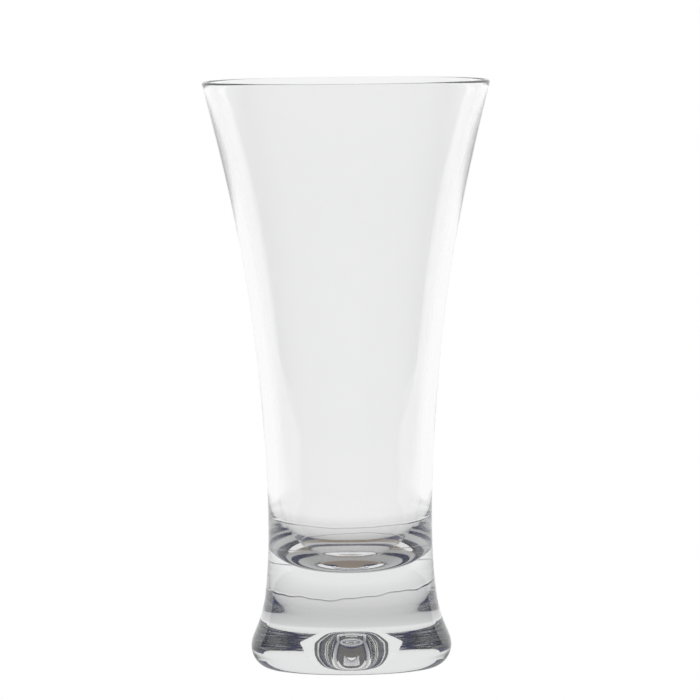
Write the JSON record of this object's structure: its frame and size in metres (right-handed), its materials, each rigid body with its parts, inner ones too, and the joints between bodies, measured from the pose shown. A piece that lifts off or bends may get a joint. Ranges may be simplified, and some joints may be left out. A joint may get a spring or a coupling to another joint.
{
  "type": "pint glass",
  "caption": "Clear hand-made pint glass with a flared bowl, narrow waist and thick solid foot with a domed recess underneath.",
  "frame": {"origin": "centre of the resting face, on the surface the glass stands on", "axes": "+Z is the glass's axis, from the foot up to the lip; the glass is round, so +X and +Y are free"},
  "size_m": [0.0954, 0.0954, 0.195],
  "materials": {
    "clear_glass": "clear, fire polished"
  },
  "bodies": {
    "root": {"bowl": "clear_glass", "foot": "clear_glass"}
  },
  "joints": []
}
